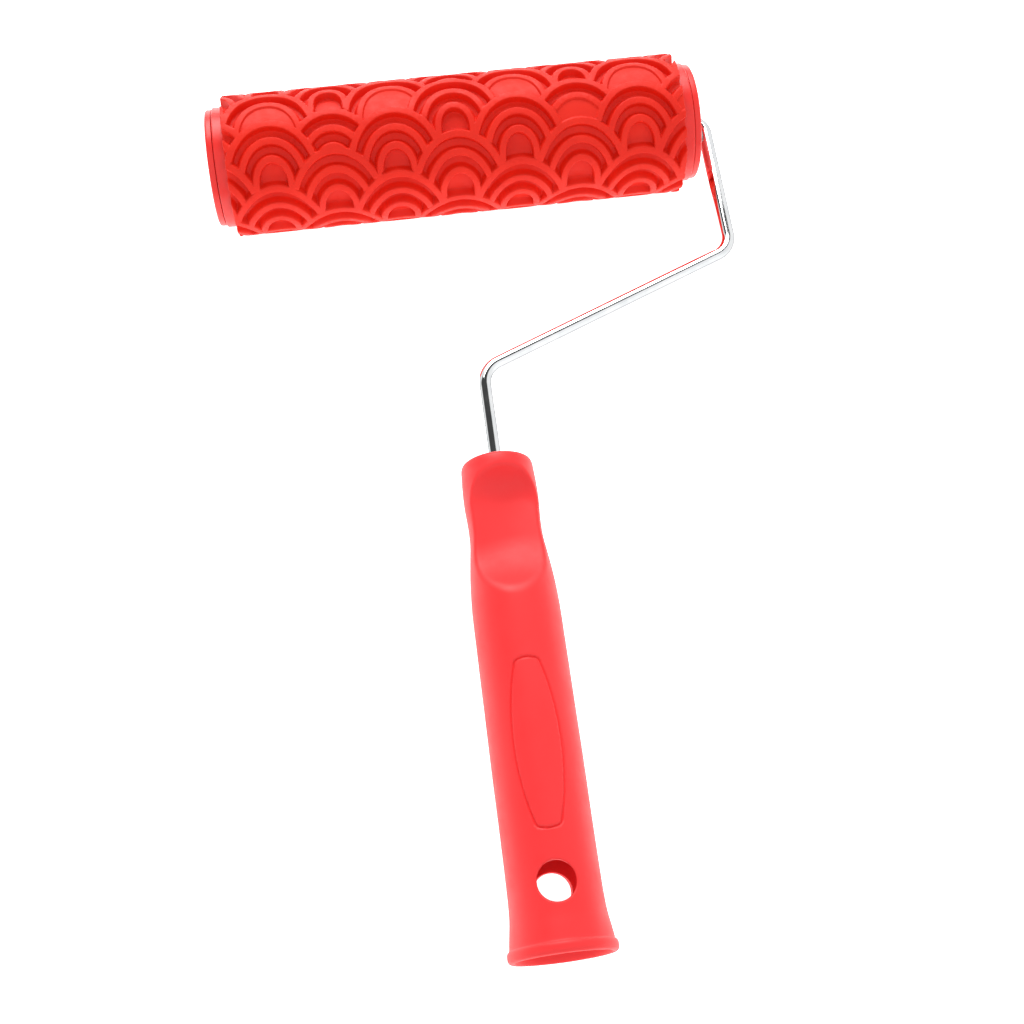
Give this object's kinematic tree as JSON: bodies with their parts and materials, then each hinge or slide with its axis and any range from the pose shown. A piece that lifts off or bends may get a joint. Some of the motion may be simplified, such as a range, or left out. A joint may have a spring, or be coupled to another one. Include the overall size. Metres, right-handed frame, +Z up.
{
  "type": "textured pattern roller",
  "caption": "Hand roller with a deeply embossed rubber sleeve of overlapping arched scallops, on a bent wire frame with a hollow handle.",
  "frame": {"origin": "on the table under the middle of the tool's bounding box, with the tool lying down: roller and rim of the handle's mouth touch the table", "axes": "+X along the roller's axis towards the side where the wire leaves it, +Y from the handle towards the roller, +Z up from the table"},
  "size_m": [0.184, 0.3155, 0.05],
  "materials": {
    "sleeve_rubber": "moulded red rubber, semi-matt",
    "handle_plastic": "smooth red injection moulding",
    "core_plastic": "red moulded plastic, satin",
    "bearing_plastic": "natural nylon",
    "frame_wire": "bright chromed steel rod",
    "spring_steel": "zinc plated steel"
  },
  "bodies": {
    "frame": {"wire_frame": "frame_wire", "handle": "handle_plastic", "axle_lock_nut": "spring_steel"},
    "roller": {"pattern_sleeve": "sleeve_rubber", "core_tube": "core_plastic", "end_cap_frame_side": "core_plastic", "end_cap_free_side": "core_plastic", "bearing_bush_frame_side": "bearing_plastic", "bearing_bush_free_side": "bearing_plastic"},
    "frame_side_washer": {"thrust_washer_frame_side": "spring_steel"},
    "free_side_washer": {"thrust_washer_free_side": "spring_steel"}
  },
  "joints": [
    {"name": "roller_spin", "type": "hinge", "parent": "frame", "child": "roller", "pos_m": [-0.00378, 0.13254, 0.025], "axis": [1, 0, 0], "continuous": true},
    {"name": "frame_side_washer_spin", "type": "hinge", "parent": "frame", "child": "frame_side_washer", "pos_m": [0.08192, 0.13254, 0.025], "axis": [1, 0, 0], "continuous": true},
    {"name": "free_side_washer_spin", "type": "hinge", "parent": "frame", "child": "free_side_washer", "pos_m": [-0.08947, 0.13254, 0.025], "axis": [1, 0, 0], "continuous": true}
  ]
}
